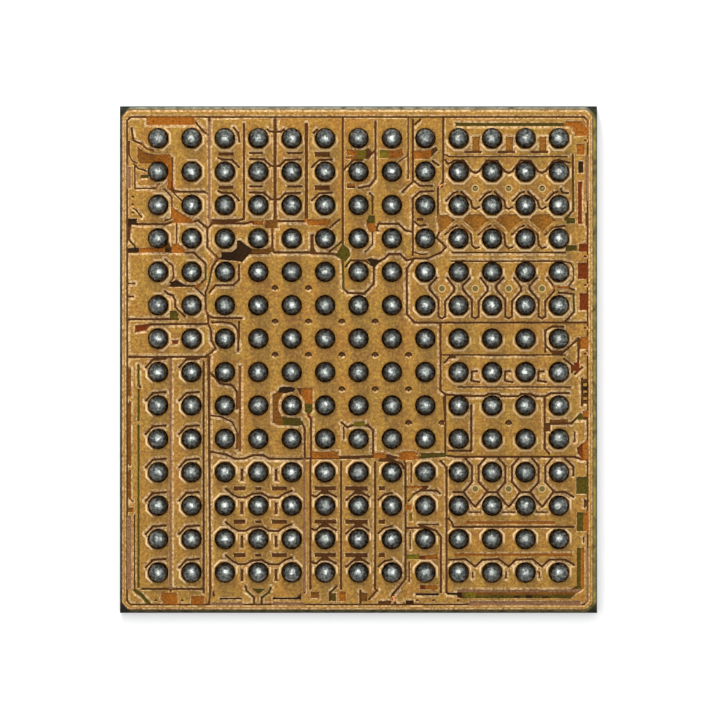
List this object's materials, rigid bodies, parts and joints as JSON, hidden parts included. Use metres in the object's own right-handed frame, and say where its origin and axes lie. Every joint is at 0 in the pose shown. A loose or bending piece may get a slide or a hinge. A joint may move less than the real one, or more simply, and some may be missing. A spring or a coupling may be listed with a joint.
{
  "type": "ball grid array chip",
  "caption": "Bare wafer-level ball grid array chip lying on its back, with rows of dark solder balls over amber film and patterned redistribution copper",
  "frame": {"origin": "the middle of the back face, on the surface that the chip lies on", "axes": "+X runs along the ball columns from 1 to 13, +Y from ball row P up to ball row A, +Z out of the ball side"},
  "size_m": [0.0058, 0.006, 0.0006],
  "materials": {
    "back_coat": "matte black backside laminate",
    "silicon": "sawn grey-green silicon",
    "wiring_levels": "thin oxide and metal levels, dull grey-green",
    "seal_metal": "buried metal ring",
    "passivation_glass": "thin nitride, green sheen",
    "pad_aluminium": "bare aluminium pads",
    "lower_dielectric": "clear brown polymer film",
    "plated_copper": "electroplated copper, fine grained",
    "upper_dielectric": "amber polymer coat that follows the copper under it",
    "under_bump_metal": "plated nickel pads",
    "solder": "reflowed tin-silver solder, dull grey with a bright crown"
  },
  "bodies": {
    "root": {"backside_coating": "back_coat", "silicon_die": "silicon", "on_chip_wiring": "wiring_levels", "seal_ring": "seal_metal", "passivation": "passivation_glass", "contact_pads": "pad_aluminium", "lower_film": "lower_dielectric", "via_plugs": "plated_copper", "guard_ring": "plated_copper", "film_over_guard": "upper_dielectric", "copper_west": "plated_copper", "film_west": "upper_dielectric", "copper_north": "plated_copper", "film_north": "upper_dielectric", "copper_middle": "plated_copper", "film_middle": "upper_dielectric", "copper_north_east": "plated_copper", "film_north_east": "upper_dielectric", "copper_core": "plated_copper", "film_core": "upper_dielectric", "copper_east": "plated_copper", "film_east": "upper_dielectric", "copper_south_west": "plated_copper", "film_south_west": "upper_dielectric", "copper_south": "plated_copper", "film_south": "upper_dielectric", "copper_south_east": "plated_copper", "film_south_east": "upper_dielectric", "under_bump_pads": "under_bump_metal", "solder_row_a": "solder", "solder_row_b": "solder", "solder_row_c": "solder", "solder_row_d": "solder", "solder_row_e": "solder", "solder_row_f": "solder", "solder_row_g": "solder", "solder_row_h": "solder", "solder_row_j": "solder", "solder_row_k": "solder", "solder_row_l": "solder", "solder_row_m": "solder", "solder_row_n": "solder", "solder_row_p": "solder"}
  },
  "joints": []
}
